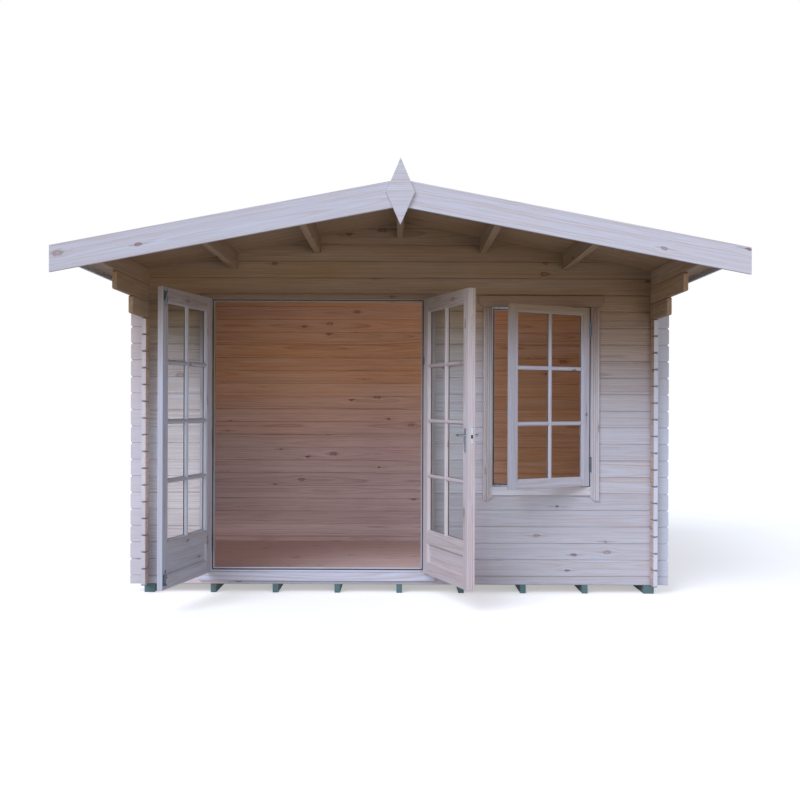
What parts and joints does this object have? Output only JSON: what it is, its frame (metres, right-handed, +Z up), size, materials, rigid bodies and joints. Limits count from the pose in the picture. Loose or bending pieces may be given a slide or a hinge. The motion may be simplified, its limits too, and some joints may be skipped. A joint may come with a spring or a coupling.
{
  "type": "log cabin",
  "caption": "Small garden log cabin with a glazed double door, an open casement window and a low gabled roof that reaches far out in front.",
  "frame": {"origin": "on the ground under the middle of the cabin, on the underside of the middle bearer", "axes": "+Z up, +X to the right seen from the front, -Y to the front, where the doors and the overhang are"},
  "size_m": [3.892, 3.5099, 2.6219],
  "materials": {
    "pine": "planed softwood, untreated",
    "treated_timber": "sawn softwood, pressure treated",
    "felt": "mineral faced bitumen felt",
    "steel": "zinc plated",
    "glass": "clear"
  },
  "bodies": {
    "cabin": {"bearers": "treated_timber", "floor": "pine", "front_sill_log": "pine", "front_wall_left": "pine", "front_wall_middle": "pine", "front_wall_under_window": "pine", "front_wall_right": "pine", "front_gable": "pine", "back_wall": "pine", "left_wall": "pine", "right_wall": "pine", "left_corbels": "pine", "right_corbels": "pine", "purlins": "pine", "roof_boards_left": "pine", "roof_boards_right": "pine", "roof_felt": "felt", "front_bargeboards": "pine", "back_bargeboards": "pine", "finial": "pine", "eave_trims": "pine", "door_jamb_left": "pine", "door_jamb_right": "pine", "door_head": "pine", "door_threshold": "pine", "window_frame": "pine", "window_casing": "pine", "window_sash": "pine", "window_glass": "glass", "window_hinges": "steel", "hinge_pins": "steel"},
    "left_door": {"left_leaf": "pine", "left_panel": "pine", "left_glass": "glass", "left_hinges": "steel", "bolt_plates": "steel"},
    "right_door": {"right_leaf": "pine", "right_panel": "pine", "right_glass": "glass", "right_hinges": "steel", "cover_strip": "pine", "handle_plates": "steel"},
    "handle": {"door_handle": "steel"},
    "top_bolt": {"top_bolt": "steel"},
    "bottom_bolt": {"bottom_bolt": "steel"}
  },
  "joints": [
    {"name": "left_door_hinge", "type": "hinge", "parent": "cabin", "child": "left_door", "pos_m": [-1.287, -1.076, 0], "axis": [0, 0, -1], "range_deg": [-102.8, 15.2]},
    {"name": "right_door_hinge", "type": "hinge", "parent": "cabin", "child": "right_door", "pos_m": [0.193, -1.076, 0], "axis": [0, 0, 1], "range_deg": [-110, 25]},
    {"name": "handle_turn", "type": "hinge", "parent": "right_door", "child": "handle", "pos_m": [0.41166, -1.744, 1.07425], "axis": [-0.9397, -0.342, 0], "range_deg": [0, 40], "stiffness_Nm_per_rad": 1, "springref_deg": -20.05},
    {"name": "top_bolt_slide", "type": "slide", "parent": "left_door", "child": "top_bolt", "axis": [0, 0, 1], "range_m": [0, 0.03]},
    {"name": "bottom_bolt_slide", "type": "slide", "parent": "left_door", "child": "bottom_bolt", "axis": [0, 0, -1], "range_m": [0, 0.03]}
  ]
}
